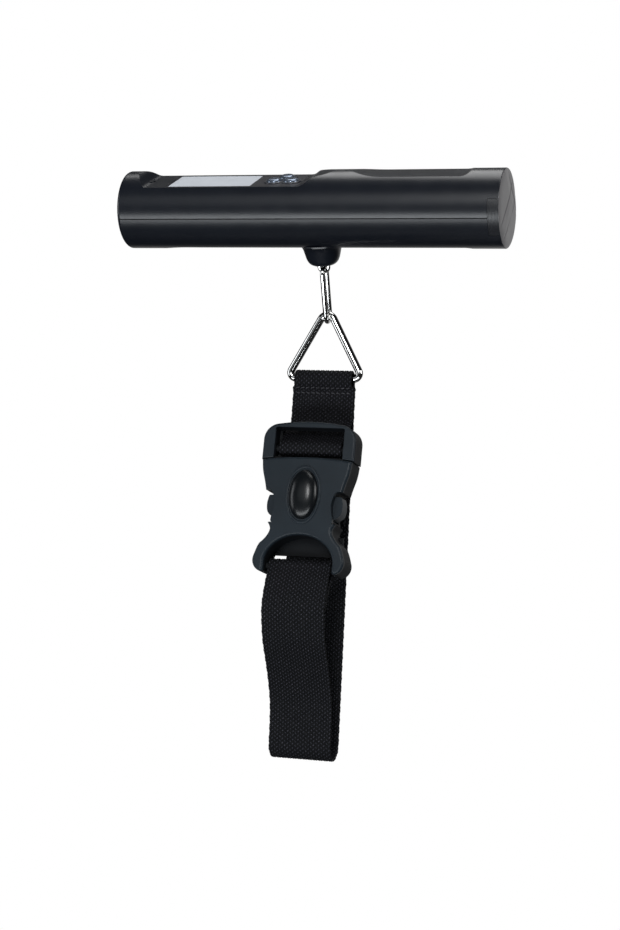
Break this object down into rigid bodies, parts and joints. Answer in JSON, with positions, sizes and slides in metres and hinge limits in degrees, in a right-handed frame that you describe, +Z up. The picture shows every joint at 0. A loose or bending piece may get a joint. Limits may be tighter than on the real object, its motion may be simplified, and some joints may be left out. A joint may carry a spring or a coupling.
{
  "type": "digital luggage scale",
  "caption": "Hand-held luggage scale: round handle with display and buttons, a battery drawer in its end, and a webbing strap on a ring, closed by a side-release buckle.",
  "frame": {"origin": "on the handle's axis, at the middle of its length, where the hand holds it", "axes": "+X along the handle towards the battery cap, +Z up as the scale hangs, -Y towards the reader; the handle is turned 24 degrees about X so its display faces up and forward"},
  "size_m": [0.1537, 0.0363, 0.2292],
  "materials": {
    "casing": "satin, fine texture",
    "panel": "satin",
    "lens": "clear",
    "lcd": "silver-grey display",
    "zebra": "matt",
    "keys": "metallic silver",
    "switches": "matt",
    "board": "solder mask",
    "steel": "plain",
    "spring_metal": "nickel plated",
    "cell_metal": "satin",
    "gauge_film": "film",
    "bright": "polished plating",
    "cap": "satin",
    "tray": "matt",
    "battery": "printed sleeve",
    "buckle": "semi-gloss",
    "webbing": "woven"
  },
  "bodies": {
    "handle": {"upper_casing": "casing", "lower_casing": "casing", "display_panel": "panel", "display_lens": "lens", "lcd_module": "lcd", "lcd_connectors": "zebra", "button_bezel": "panel", "tact_switches": "switches", "button_pad": "zebra", "circuit_board": "board", "controller_chip": "switches", "board_screws": "steel", "casing_screws": "steel", "load_cell": "cell_metal", "strain_gauges": "gauge_film", "load_cell_screws": "steel", "hanging_eye": "bright", "eye_washer": "steel", "eye_nut": "steel", "contact_carrier": "tray", "battery_contacts": "spring_metal"},
    "power_key": {"power_button": "keys"},
    "unit_key": {"unit_button": "keys"},
    "tare_key": {"tare_button": "keys"},
    "battery_drawer": {"battery_cap": "cap", "battery_tray": "tray", "battery_cell_front": "battery", "battery_cell_back": "battery", "contact_bridge": "spring_metal"},
    "link": {"hanging_link": "bright"},
    "ring": {"triangle_ring": "bright"},
    "strap": {"webbing_back": "webbing", "webbing_short": "webbing", "buckle_frame": "buckle"},
    "arm_left": {"release_arm_left": "buckle"},
    "arm_right": {"release_arm_right": "buckle"},
    "socket": {"buckle_socket": "buckle", "socket_dome": "buckle", "webbing_socket_end": "webbing", "webbing_front_run": "webbing"}
  },
  "joints": [
    {"name": "power_press", "type": "slide", "parent": "handle", "child": "power_key", "axis": [0, 0.4067, -0.9135], "range_m": [0, 0.0006], "stiffness_N_per_m": 300},
    {"name": "unit_press", "type": "slide", "parent": "handle", "child": "unit_key", "axis": [0, 0.4067, -0.9135], "range_m": [0, 0.0006], "stiffness_N_per_m": 300},
    {"name": "tare_press", "type": "slide", "parent": "handle", "child": "tare_key", "axis": [0, 0.4067, -0.9135], "range_m": [0, 0.0006], "stiffness_N_per_m": 300},
    {"name": "drawer_slide", "type": "slide", "parent": "handle", "child": "battery_drawer", "axis": [1, 0, 0], "range_m": [0, 0.055]},
    {"name": "link_swing", "type": "hinge", "parent": "handle", "child": "link", "pos_m": [0.0024, 0.01019, -0.02288], "axis": [1, 0, 0], "range_deg": [-40, 40]},
    {"name": "ring_swing", "type": "hinge", "parent": "link", "child": "ring", "pos_m": [0.0024, 0.01851, -0.04157], "axis": [0, 1, 0], "range_deg": [-25, 25]},
    {"name": "strap_swing", "type": "hinge", "parent": "ring", "child": "strap", "pos_m": [0.0024, 0.01747, -0.0644], "axis": [1, 0, 0], "range_deg": [-45, 45]},
    {"name": "arm_left_squeeze", "type": "hinge", "parent": "strap", "child": "arm_left", "pos_m": [-0.0079, 0.00465, -0.10024], "axis": [0, -0.9888, 0.1495], "range_deg": [0, 8], "stiffness_Nm_per_rad": 0.6},
    {"name": "arm_right_squeeze", "type": "hinge", "parent": "strap", "child": "arm_right", "pos_m": [0.0127, 0.00465, -0.10024], "axis": [0, -0.9888, 0.1495], "range_deg": [-8, 0], "stiffness_Nm_per_rad": 0.6},
    {"name": "buckle_release", "type": "slide", "parent": "strap", "child": "socket", "axis": [0, -0.1495, -0.9888], "range_m": [0, 0.022], "deforming": ["webbing_front_run", "release_arm_left", "release_arm_right"]}
  ],
  "couplings": [
    {"joint": "arm_right_squeeze", "follows": "arm_left_squeeze", "ratio": -1}
  ]
}
